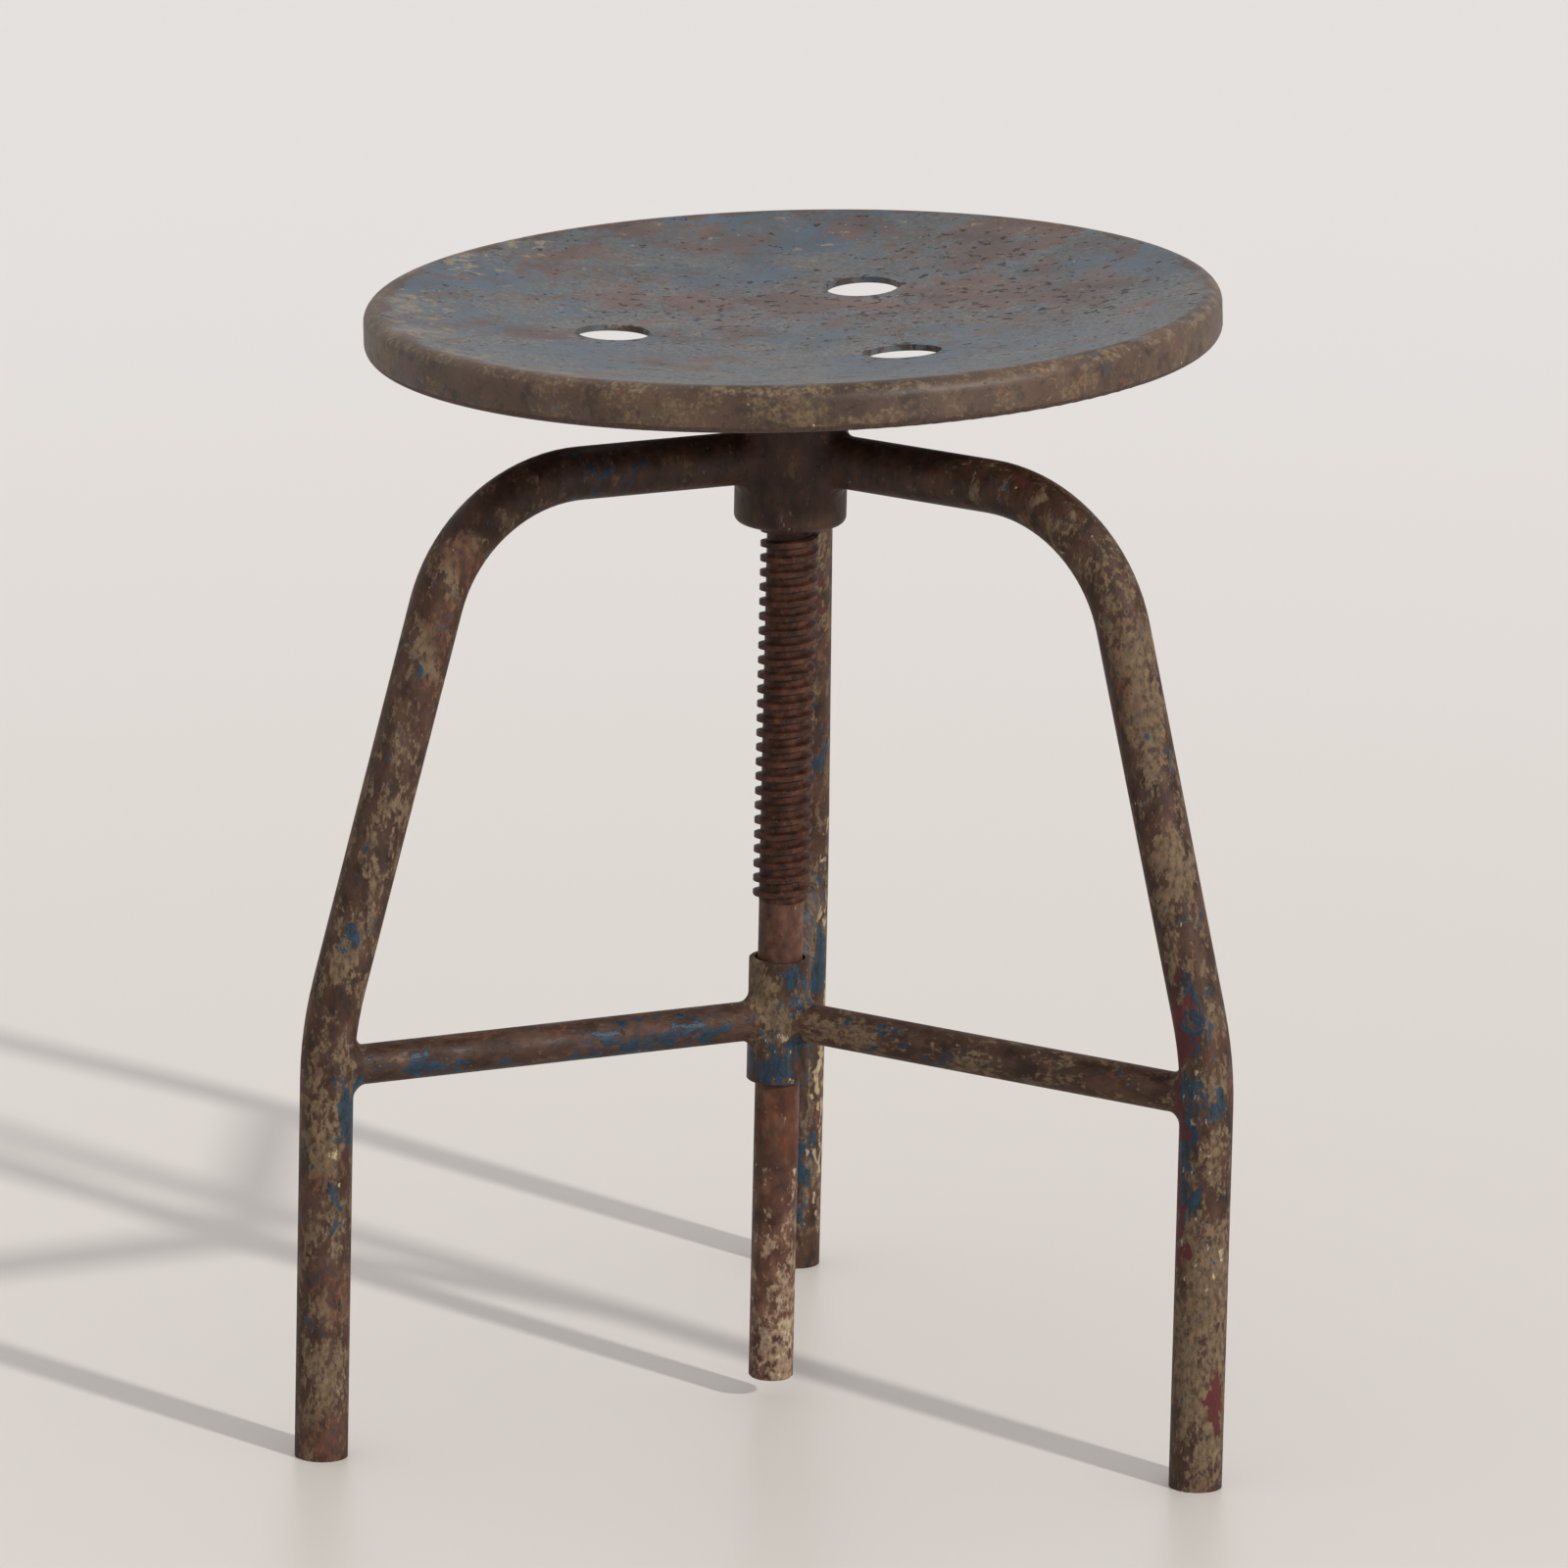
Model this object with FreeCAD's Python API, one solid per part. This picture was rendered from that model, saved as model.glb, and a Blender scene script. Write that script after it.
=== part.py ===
import FreeCAD, Part
import math
import os
from FreeCAD import Vector

# Screw stool with three bent tube legs and a dished steel seat that rises on a screw.
# Millimetres, +Z up. The stool stands on Z = 0 and the rear leg points to +Y.
# The origin lies on the floor, under the middle of the stool's overall box.

# Legs: one bent tube each, with a level arm, a slanted upper leg and an upright lower leg
leg_count = 3
leg_names = ["rear", "left", "right"]
leg_reach = 201.5
leg_tube_diameter = 21.3
leg_tube_wall = 2.6
arm_height = 393.0
shoulder_reach = 144.0
shoulder_bend_radius = 65.0
knee_height = 175.0
knee_bend_radius = 150.0
foot_plug_thickness = 5.0
foot_plug_clearance = 0.05

# Hub: the long round nut that the arms are welded to
hub_diameter = 45.0
hub_length = 68.0
hub_below_arms = 28.0
hub_lower_rounding = 3.5
hub_upper_chamfer = 1.5

# Lift screw: single-start right-hand trapezoidal thread
screw_diameter = 23.2
thread_pitch = 6.0
thread_depth = 2.5
thread_crest_width = 2.0
thread_flank_degrees = 15.0
thread_radial_clearance = 0.35
thread_flank_clearance = 0.3
thread_end_gap = 23.7
spigot_diameter = 17.0
spigot_clearance = 0.1

# Guide rod and collar
rod_diameter = 18.0
rod_floor_gap = 9.7
rod_end_chamfer = 0.8
collar_running_gap = 1.2
collar_wall = 2.3
collar_length = 50.6
collar_edge_chamfer = 0.4

# Stretchers: round bars from the collar to the knees
stretcher_diameter = 16.0
stretcher_height = 160.0

# Weld beads
hub_weld_leg = 3.5
stretcher_weld_leg = 3.5
collar_weld_leg = 3.0
flange_weld_leg = 4.0
countersink_depth = 4.0

# Seat: a dished pan on a flange, a little out of square on the screw, low on its left
seat_diameter = 342.0
seat_sheet = 2.5
seat_dish_depth = 12.5
seat_rim_height = 18.5
seat_shoulder_radius = 6.0
seat_curl_radius = 4.5
seat_lip_length = 2.0
seat_tilt_degrees = 2.7
seat_hole_count = 3
seat_hole_diameter = 29.7
seat_hole_circle = 144.0
seat_hole_first_angle = 70.0
flange_diameter = 60.0
flange_thickness = 8.0
flange_land_margin = 1.0
seat_rest_gap = 0.5

# Sizes that follow from those above
leg_radius = leg_tube_diameter / 2
leg_bore_radius = leg_radius - leg_tube_wall
hub_radius = hub_diameter / 2
hub_bottom = arm_height - hub_below_arms
hub_top = hub_bottom + hub_length
screw_radius = screw_diameter / 2
root_radius = screw_radius - thread_depth
rod_radius = rod_diameter / 2
collar_bore_radius = rod_radius + collar_running_gap
collar_radius = collar_bore_radius + collar_wall
collar_bottom = stretcher_height - collar_length / 2
collar_top = collar_bottom + collar_length
screw_bottom = collar_top + thread_end_gap
groove_start = screw_bottom - 1.5 * thread_pitch
stretcher_radius = stretcher_diameter / 2
seat_radius = seat_diameter / 2
flange_radius = flange_diameter / 2
seat_tilt_drop = hub_radius * math.tan(math.radians(seat_tilt_degrees))
flange_underside = hub_top + seat_rest_gap + seat_tilt_drop
rear_extent = leg_reach + leg_radius
overall_middle = (rear_extent - seat_radius) / 2

up = Vector(0, 0, 1)
cut_margin = 5.0


def leg_angle(index):
    """Direction of a leg round the spindle, with the first one to the rear."""
    return 90.0 + index * 360.0 / leg_count


def turned(shape, angle):
    """The shape turned about the spindle."""
    copy = shape.copy()
    copy.rotate(Vector(0, 0, 0), up, angle)
    return copy


def cylinder(radius, bottom, top):
    """An upright cylinder about the spindle."""
    return Part.makeCylinder(radius, top - bottom, Vector(0, 0, bottom))


def level_bar(radius, height, inner, outer):
    """A level round bar along +X from one distance of the spindle to another."""
    return Part.makeCylinder(radius, outer - inner, Vector(inner, 0, height), Vector(1, 0, 0))


def bent_bar(corners, bend_radii, radius):
    """A round bar in the XZ plane through the corners, each inner one bent to its radius."""
    pieces = []
    start = corners[0]
    direction = (corners[1] - corners[0]).normalize()
    for index, bend_radius in enumerate(bend_radii, 1):
        corner = corners[index]
        next_direction = (corners[index + 1] - corner).normalize()
        turn = direction.getAngle(next_direction)
        setback = bend_radius * math.tan(turn / 2)
        bend_start = corner - direction * setback
        pieces.append(Part.makeCylinder(radius, (bend_start - start).Length, start, direction))
        bend_axis = direction.cross(next_direction).normalize()
        bend_centre = bend_start + bend_axis.cross(direction) * bend_radius
        section = Part.Face(Part.Wire(Part.makeCircle(radius, bend_start, direction)))
        pieces.append(section.revolve(bend_centre, bend_axis, math.degrees(turn)))
        start = corner + next_direction * setback
        direction = next_direction
    pieces.append(Part.makeCylinder(radius, (corners[-1] - start).Length, start, direction))
    return pieces[0].fuse(pieces[1:]).removeSplitter()


def leg_outside():
    """The solid outline of a leg that points to +X, with its arm end inside the hub."""
    return bent_bar(leg_corners(), [knee_bend_radius, shoulder_bend_radius], leg_radius)


def leg_corners():
    """Where the straight stretches of a leg's centre line cross, from the foot up."""
    return [
        Vector(leg_reach, 0, 0),
        Vector(leg_reach, 0, knee_height),
        Vector(shoulder_reach, 0, arm_height),
        Vector(hub_radius / 2, 0, arm_height),
    ]


def make_leg():
    """A bent tube whose arm end is coped to the hub."""
    bore = bent_bar(leg_corners(), [knee_bend_radius, shoulder_bend_radius], leg_bore_radius)
    tube = leg_outside().cut(bore)
    return tube.cut(cylinder(hub_radius, hub_bottom, hub_top))


def make_foot_plug():
    """The disc that closes a leg's lower end."""
    radius = leg_bore_radius - foot_plug_clearance
    return Part.makeCylinder(radius, foot_plug_thickness, Vector(leg_reach, 0, 0))


def make_stretcher():
    """A round bar coped to the collar at one end and to the leg at the other."""
    bar = level_bar(stretcher_radius, stretcher_height, collar_radius / 2, leg_reach)
    bar = bar.cut(cylinder(collar_radius, collar_bottom, collar_top))
    return bar.cut(leg_outside())


def weld_bead(wall, bar, leg_length):
    """The flat bead in the corner where a bar's end meets a wall."""
    joined = wall.fuse(bar)
    corner_edges = []
    for edge in joined.Edges:
        middle = Part.Vertex(edge.valueAt((edge.FirstParameter + edge.LastParameter) / 2))
        on_wall = min(face.distToShape(middle)[0] for face in wall.Faces) < 0.001
        on_bar = min(face.distToShape(middle)[0] for face in bar.Faces) < 0.001
        if on_wall and on_bar:
            corner_edges.append(edge)
    filled = joined.makeChamfer(leg_length, corner_edges)
    return filled.cut([wall, bar])


def make_hub_weld():
    """The bead round an arm where it meets the hub."""
    wall = cylinder(hub_radius, hub_bottom, hub_top)
    arm = level_bar(leg_radius, arm_height, 0, shoulder_reach - shoulder_bend_radius)
    return weld_bead(wall, arm, hub_weld_leg)


def make_collar_weld():
    """The bead round a stretcher where it meets the collar."""
    wall = cylinder(collar_radius, collar_bottom, collar_top)
    bar = level_bar(stretcher_radius, stretcher_height, 0, leg_reach / 2)
    return weld_bead(wall, bar, collar_weld_leg)


def make_stretcher_weld():
    """The bead round a stretcher where it meets the leg."""
    bar = level_bar(stretcher_radius, stretcher_height, leg_reach / 2, leg_reach)
    return weld_bead(leg_outside(), bar, stretcher_weld_leg)


def helix(radius, start, turn):
    """One turn of a right-hand helix that starts over +X at the given height."""
    wire = Part.makeHelix(thread_pitch, thread_pitch, radius)
    wire.translate(Vector(0, 0, start + turn * thread_pitch))
    return wire.Edges[0]


def helical_ridge(inner_radius, outer_radius, inner_half, outer_half, bottom, turns):
    """A trapezoidal ridge that winds up round the spindle, one set of faces to a turn."""
    corners = [
        (inner_radius, -inner_half),
        (outer_radius, -outer_half),
        (outer_radius, outer_half),
        (inner_radius, inner_half),
    ]
    faces = []
    end_points = []
    for turn in range(turns):
        edges = [helix(radius, bottom + rise, turn) for radius, rise in corners]
        for index, edge in enumerate(edges):
            faces.append(Part.makeRuledSurface(edge, edges[(index + 1) % len(edges)]))
        if turn == 0:
            end_points.append([edge.valueAt(edge.FirstParameter) for edge in edges])
        if turn == turns - 1:
            end_points.append([edge.valueAt(edge.LastParameter) for edge in edges])
    for points in end_points:
        faces.append(Part.Face(Part.makePolygon(points + points[:1])))
    shell = Part.Shell(faces)
    shell.sewShape()
    return Part.Solid(shell)


def groove_half_width(radius):
    """Half the axial width of the screw's groove at a radius."""
    groove_width = thread_pitch - thread_crest_width
    slope = math.tan(math.radians(thread_flank_degrees))
    return groove_width / 2 - (screw_radius - radius) * slope


def ridge_half_width(radius):
    """Half the axial width of the screw's ridge at a radius."""
    return thread_pitch / 2 - groove_half_width(radius)


def make_lift_screw():
    """The threaded bar, with a chamfered lower end and a spigot for the flange."""
    thread_top = flange_underside - screw_radius * math.tan(math.radians(seat_tilt_degrees))
    taper = screw_radius - rod_radius
    blank = cylinder(screw_radius, screw_bottom + taper, thread_top)
    lower_cone = Part.makeCone(rod_radius, screw_radius, taper, Vector(0, 0, screw_bottom))
    blank = blank.fuse(lower_cone).removeSplitter()
    outer = screw_radius + 1.0
    turns = math.ceil((thread_top - screw_bottom) / thread_pitch) + 3
    groove = helical_ridge(
        root_radius,
        outer,
        groove_half_width(root_radius),
        groove_half_width(outer),
        groove_start,
        turns,
    )
    screw = blank.cut(groove)
    spigot = cylinder(spigot_diameter / 2, thread_top, flange_underside + 2 * flange_thickness)
    return screw.fuse(spigot.cut(above_flange())).removeSplitter()


def make_hub():
    """The nut boss, threaded right through to match the screw."""
    body = cylinder(hub_radius, hub_bottom, hub_top)
    lower = [edge for edge in body.Edges if edge.BoundBox.ZMax < hub_bottom + 0.01]
    body = body.makeFillet(hub_lower_rounding, lower)
    upper = [edge for edge in body.Edges if edge.BoundBox.ZMin > hub_top - 0.01]
    body = body.makeChamfer(hub_upper_chamfer, upper)
    minor_radius = root_radius + thread_radial_clearance
    body = body.cut(cylinder(minor_radius, hub_bottom - cut_margin, hub_top + cut_margin))
    inner = minor_radius - 1.0
    outer = screw_radius + thread_radial_clearance
    ridge_start = groove_start + thread_pitch / 2
    ridge_start += (math.floor((hub_bottom - ridge_start) / thread_pitch) - 1) * thread_pitch
    turns = math.ceil((hub_top - ridge_start) / thread_pitch) + 1
    tap = helical_ridge(
        inner,
        outer,
        ridge_half_width(inner) + thread_flank_clearance,
        ridge_half_width(outer) + thread_flank_clearance,
        ridge_start,
        turns,
    )
    return body.cut(tap)


def make_guide_rod():
    """The plain bar below the thread, chamfered at its lower end."""
    rod = cylinder(rod_radius, rod_floor_gap, screw_bottom)
    lower = [edge for edge in rod.Edges if edge.BoundBox.ZMax < rod_floor_gap + 0.01]
    return rod.makeChamfer(rod_end_chamfer, lower)


def make_guide_collar():
    """The sleeve that keeps the guide rod upright."""
    sleeve = cylinder(collar_radius, collar_bottom, collar_top)
    sleeve = sleeve.cut(cylinder(collar_bore_radius, collar_bottom, collar_top))
    rims = []
    for edge in sleeve.Edges:
        if edge.BoundBox.ZLength < 0.01 and edge.BoundBox.XLength > 2 * collar_radius - 0.01:
            rims.append(edge)
    return sleeve.makeChamfer(collar_edge_chamfer, rims)


def on_screw(shape):
    """A shape made square at Z = 0, set out of square on top of the screw."""
    copy = shape.copy()
    copy.rotate(Vector(0, 0, 0), Vector(0, 1, 0), -seat_tilt_degrees)
    copy.translate(Vector(0, 0, flange_underside))
    return copy


def above_flange():
    """All the space over the flange, which cuts off the spigot and its weld."""
    size = 4 * flange_diameter
    corner = Vector(-size / 2, -size / 2, flange_thickness)
    return on_screw(Part.makeBox(size, size, size, corner))


def countersink(clearance):
    """The welded recess round the screw's spigot at the top of the flange."""
    small = spigot_diameter / 2 + clearance
    bottom = flange_underside + flange_thickness - countersink_depth
    cone_height = 2 * countersink_depth
    return Part.makeCone(small, small + cone_height, cone_height, Vector(0, 0, bottom))


def make_seat_flange():
    """The round plate that joins the screw to the seat pan."""
    plate = on_screw(Part.makeCylinder(flange_radius, flange_thickness))
    bore_radius = spigot_diameter / 2 + spigot_clearance
    bore_bottom = flange_underside - flange_thickness
    plate = plate.cut(cylinder(bore_radius, bore_bottom, flange_underside + 2 * flange_thickness))
    return plate.cut(countersink(spigot_clearance))


def make_screw_weld():
    """The weld that fills the countersink round the spigot."""
    weld = countersink(spigot_clearance)
    spigot_space = cylinder(spigot_diameter / 2, 0, flange_underside + 4 * flange_thickness)
    return weld.cut([spigot_space, above_flange()])


def strip_face(start, moves, thickness):
    """A sheet's section in the XZ plane: its outer line's moves, and the same line one sheet in.

    A move is ("line", length) or ("arc", radius, degrees), where positive degrees turn left.
    """
    outer_edges = []
    inner_edges = []
    point = start
    heading = 0.0

    def inside(place, angle):
        """The point one sheet to the right of the line."""
        return place + Vector(math.sin(angle), 0, -math.cos(angle)) * thickness

    for move in moves:
        ahead = Vector(math.cos(heading), 0, math.sin(heading))
        if move[0] == "line":
            end = point + ahead * move[1]
            outer_edges.append(Part.makeLine(point, end))
            inner_edges.append(Part.makeLine(inside(point, heading), inside(end, heading)))
        else:
            radius = move[1]
            turn = math.radians(move[2])
            side = math.copysign(1.0, turn)
            centre = point + Vector(-math.sin(heading), 0, math.cos(heading)) * side * radius
            places = []
            for share in (0.0, 0.5, 1.0):
                angle = heading + turn * share
                out = Vector(math.sin(angle), 0, -math.cos(angle)) * side
                places.append((centre + out * radius, angle))
            outer_edges.append(Part.Arc(*[place for place, angle in places]).toShape())
            inner_edges.append(Part.Arc(*[inside(place, angle) for place, angle in places]).toShape())
            end = places[-1][0]
            heading += turn
        point = end
    first_end = Part.makeLine(start, inside(start, 0.0))
    last_end = Part.makeLine(point, inside(point, heading))
    wire = Part.Wire(Part.__sortEdges__(outer_edges + inner_edges + [first_end, last_end]))
    return Part.Face(wire)


def make_seat_pan():
    """The dished seat: a flat land on the flange, a long upward curve and a turned-down rim."""
    land_radius = flange_radius + flange_weld_leg + flange_land_margin
    dish_reach = seat_radius - seat_shoulder_radius - land_radius
    dish_slope = 2 * math.atan(seat_dish_depth / dish_reach)
    dish_radius = dish_reach / math.sin(dish_slope) - seat_shoulder_radius
    slope_degrees = math.degrees(dish_slope)
    wall_length = seat_rim_height - seat_shoulder_radius - seat_curl_radius
    moves = [
        ("line", land_radius),
        ("arc", dish_radius, slope_degrees),
        ("arc", seat_shoulder_radius, -90.0 - slope_degrees),
        ("line", wall_length),
        ("arc", seat_curl_radius, -90.0),
        ("line", seat_lip_length),
    ]
    top = Vector(0, 0, flange_thickness + seat_sheet)
    pan = strip_face(top, moves, seat_sheet).revolve(Vector(0, 0, 0), up, 360.0)
    for index in range(seat_hole_count):
        angle = math.radians(seat_hole_first_angle + index * 360.0 / seat_hole_count)
        place = Vector(math.cos(angle), math.sin(angle), 0) * (seat_hole_circle / 2)
        punch_height = flange_thickness + seat_sheet + seat_dish_depth
        pan = pan.cut(Part.makeCylinder(seat_hole_diameter / 2, punch_height, place))
    return on_screw(pan)


def make_flange_weld():
    """The bead between the flange's edge and the underside of the pan."""
    corner = Vector(flange_radius, 0, flange_thickness)
    low = Vector(flange_radius, 0, flange_thickness - flange_weld_leg)
    wide = Vector(flange_radius + flange_weld_leg, 0, flange_thickness)
    section = Part.Face(Part.makePolygon([corner, low, wide, corner]))
    return on_screw(section.revolve(Vector(0, 0, 0), up, 360.0))


def save(name, shape):
    """Write one piece, moved so that the origin lies under the middle of the stool."""
    placed = shape.copy()
    placed.translate(Vector(0, -overall_middle, 0))
    placed.exportStep("parts/" + name + ".step")
    box = placed.optimalBoundingBox()
    print(
        name,
        "valid" if placed.isValid() else "NOT VALID",
        len(placed.Solids),
        "solid",
        round(placed.Volume),
        "mm3",
        [round(value, 1) for value in (box.XMin, box.XMax, box.YMin, box.YMax, box.ZMin, box.ZMax)],
    )


os.makedirs("parts", exist_ok=True)

save("seat_pan", make_seat_pan())
save("seat_flange", make_seat_flange())
save("flange_weld", make_flange_weld())
save("screw_weld", make_screw_weld())
save("lift_screw", make_lift_screw())
save("guide_rod", make_guide_rod())
save("hub_nut", make_hub())
save("guide_collar", make_guide_collar())

leg_pieces = {
    "leg": make_leg(),
    "foot_plug": make_foot_plug(),
    "stretcher": make_stretcher(),
    "hub_weld": make_hub_weld(),
    "stretcher_weld": make_stretcher_weld(),
    "collar_weld": make_collar_weld(),
}
for index, side in enumerate(leg_names):
    for piece_name, piece in leg_pieces.items():
        save(piece_name + "_" + side, turned(piece, leg_angle(index)))
print("spindle at Y", round(-overall_middle, 3), "flange underside", round(flange_underside, 3))
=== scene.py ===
"""Screw stool: three bent tube legs and a dished steel seat, under worn paint and rust."""

import math

import bmesh
import bpy
from bpy.props import FloatProperty, FloatVectorProperty, PointerProperty
from mathutils import Matrix, Vector


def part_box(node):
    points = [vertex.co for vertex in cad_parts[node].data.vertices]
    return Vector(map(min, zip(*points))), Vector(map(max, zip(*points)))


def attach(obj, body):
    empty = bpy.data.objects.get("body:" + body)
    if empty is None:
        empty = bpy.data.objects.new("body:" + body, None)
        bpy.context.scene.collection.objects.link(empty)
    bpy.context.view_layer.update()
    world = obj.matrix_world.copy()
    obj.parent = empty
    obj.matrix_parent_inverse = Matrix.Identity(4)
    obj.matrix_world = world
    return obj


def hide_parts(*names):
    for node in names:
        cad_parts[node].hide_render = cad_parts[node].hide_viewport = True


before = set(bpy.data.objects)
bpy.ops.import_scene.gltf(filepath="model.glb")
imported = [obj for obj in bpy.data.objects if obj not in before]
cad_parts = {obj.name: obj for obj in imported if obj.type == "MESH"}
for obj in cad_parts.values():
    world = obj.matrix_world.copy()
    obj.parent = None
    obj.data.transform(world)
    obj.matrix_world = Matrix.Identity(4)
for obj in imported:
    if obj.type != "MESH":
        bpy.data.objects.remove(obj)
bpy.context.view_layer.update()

bl_info = {
    "name": "Screw Stool",
    "version": (1, 0, 0),
    "blender": (4, 5, 0),
    "location": "3D View > Sidebar > Stool",
    "description": "Dresses a screw stool's solids with welds, worn paint, rust and a plain stage",
    "category": "Object",
}

MM = 0.001

# Where the legs and stretchers stand round the spindle, in degrees from +X
SIDES = {"rear": 90.0, "left": 210.0, "right": 330.0}

# The leg's knee, on the tube's centre line: the height where its bend starts, and its radius
KNEE_START = 155.5 * MM
KNEE_RADIUS = 150.0 * MM

# Rust's own grain, and how coarsely and how far the edge of a patch is pushed about, in mm
GRIT_SIZE = 2.0
RAGGED_SIZE = 9.0
RAGGED_PUSH = 15.0

# A noise hardly leaves this range, so its tones are spread over it
NOISE_LOW = 0.34
NOISE_HIGH = 0.66

# Steps round a weld bead, points across its face, waves round it (each one makes two ripples),
# and how deep its back is sunk
BEAD_STEPS = 96
BEAD_FACE_POINTS = 7
BEAD_WAVES = 38
BEAD_SUNK = 0.4 * MM

FLOOR_RADIUS = 12.0


def middle(node):
    """The middle of a node's box."""
    low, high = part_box(node)
    return (Vector(low) + Vector(high)) / 2


def span(node, axis):
    """How far a node reaches along an axis: 0, 1 or 2."""
    low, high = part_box(node)
    return high[axis] - low[axis]


# The spindle is upright, and the guide rod is round about it.
SPINDLE = Vector((middle("guide_rod").x, middle("guide_rod").y, 0.0))


def linear(hex_colour):
    """An sRGB hex colour as linear red, green and blue with full alpha."""
    channels = [int(hex_colour[start:start + 2], 16) / 255 for start in (1, 3, 5)]
    bent = [c / 12.92 if c <= 0.04045 else ((c + 0.055) / 1.055) ** 2.4 for c in channels]
    return (*bent, 1.0)


def colour(name, description, hex_colour):
    """A colour that the user can change."""
    return FloatVectorProperty(
        name=name,
        description=description,
        subtype="COLOR",
        size=4,
        min=0.0,
        max=1.0,
        default=linear(hex_colour),
    )


def length(name, description, default):
    """A length that the user can change."""
    return FloatProperty(
        name=name, description=description, unit="LENGTH", min=0.0, precision=4, default=default
    )


class StoolSizes(bpy.types.PropertyGroup):
    """Sizes of the weld beads."""

    hub_bead: length("Hub bead", "Leg length of the beads round the arms", 4.5 * MM)
    collar_bead: length("Collar bead", "Leg length of the beads on the collar", 4.5 * MM)
    knee_bead: length("Knee bead", "Leg length of the beads on the legs", 5.0 * MM)
    bead_ripple: length("Bead ripple", "How far a bead's ripples stand out", 0.25 * MM)


class StoolColours(bpy.types.PropertyGroup):
    """Colours of the paints and of what time has left on them."""

    enamel: colour("Enamel", "Petrol-blue enamel left on the frame", "#18374A")
    primer: colour("Primer", "Red-oxide primer under the enamel", "#542322")
    patina: colour("Patina", "Khaki dirt and worn undercoat", "#7B6750")
    rust: colour("Rust", "Brown rust on the steel", "#4E382C")
    seat_paint: colour("Seat paint", "Slate-blue paint on the seat", "#444B51")
    floor: colour("Floor", "Pale painted floor", "#DED8D2")
    backdrop: colour("Backdrop", "Tone of the far floor and the background", "#E6E3E1")


class StageSettings(bpy.types.PropertyGroup):
    """Camera and light."""

    camera_distance: length("Camera distance", "From the spindle, over the floor", 5.7179)
    camera_height: length("Camera height", "Above the floor", 1.70027)
    camera_azimuth: FloatProperty(
        name="Camera azimuth",
        description="Direction of the camera round the spindle, from +X",
        subtype="ANGLE",
        default=math.radians(-87.541),
    )
    camera_pitch: FloatProperty(
        name="Camera pitch",
        description="How far the camera looks down",
        subtype="ANGLE",
        default=math.radians(14.167),
    )
    camera_roll: FloatProperty(
        name="Camera roll",
        description="How far the camera's right side is raised",
        subtype="ANGLE",
        default=math.radians(1.297),
    )
    focal_length: FloatProperty(
        name="Focal length",
        description="Lens on a sensor 36 mm wide",
        unit="CAMERA",
        default=337.535,
    )
    key_strength: FloatProperty(
        name="Key light", description="Strength of the key light", min=0.0, default=2.5
    )
    key_azimuth: FloatProperty(
        name="Key azimuth",
        description="Direction of the key light round the stool, from +X",
        subtype="ANGLE",
        default=math.radians(-42.0),
    )
    key_elevation: FloatProperty(
        name="Key elevation",
        description="Height of the key light over the horizon",
        subtype="ANGLE",
        default=math.radians(27.0),
    )
    sky_strength: FloatProperty(
        name="Fill light", description="Strength of the even fill light", min=0.0, default=0.62
    )


# Materials


def add(tree, kind, settings=None, links=None):
    """Adds one node. A setting is an attribute or else an input, and a link feeds an input."""
    node = tree.nodes.new(kind)
    for key, value in (settings or {}).items():
        if str(key) in node.bl_rna.properties:
            setattr(node, key, value)
        else:
            node.inputs[key].default_value = value
    for key, source in (links or {}).items():
        tree.links.new(source, node.inputs[key])
    return node


def per_metre(size_mm):
    """The scale that gives a texture features of a size in millimetres."""
    return 1000.0 / size_mm


def zone_value(tree, places, zone):
    """What a zone takes off a coat: its loss outside the zone, and nothing inside it.

    A zone is a kind, where it starts, where it is full and its loss. A height and a radius are
    in millimetres. Down and inward are 1 where the surface faces the floor and the spindle.
    """
    kind, start, full, loss = zone
    ends = {"From Min": start, "From Max": full, "To Min": -loss, "To Max": 0.0}
    if kind in ("height", "radius"):
        ends["From Min"] = start * MM
        ends["From Max"] = full * MM
    return add(tree, "ShaderNodeMapRange", ends, {"Value": places[kind]}).outputs[0]


def patch_value(tree, place, patches, turn, stretch):
    """The nearest patch's weight: 1 at its middle and 0 at its radius."""
    weight = None
    for x, y, z, radius in patches:
        centre = Matrix.Rotation(-turn, 3, "Z") @ (Vector((x, y, z)) * MM)
        centre = [value / factor for value, factor in zip(centre, stretch)]
        away = add(
            tree, "ShaderNodeVectorMath", {"operation": "DISTANCE", 1: centre}, {0: place}
        )
        inside = add(
            tree,
            "ShaderNodeMath",
            {"operation": "MULTIPLY_ADD", "use_clamp": True, 1: -1 / (radius * MM), 2: 1.0},
            {0: away.outputs["Value"]},
        )
        if weight is None:
            weight = inside.outputs[0]
        else:
            weight = add(
                tree, "ShaderNodeMath", {"operation": "MAXIMUM"}, {0: weight, 1: inside.outputs[0]}
            ).outputs[0]
    return weight


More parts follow.
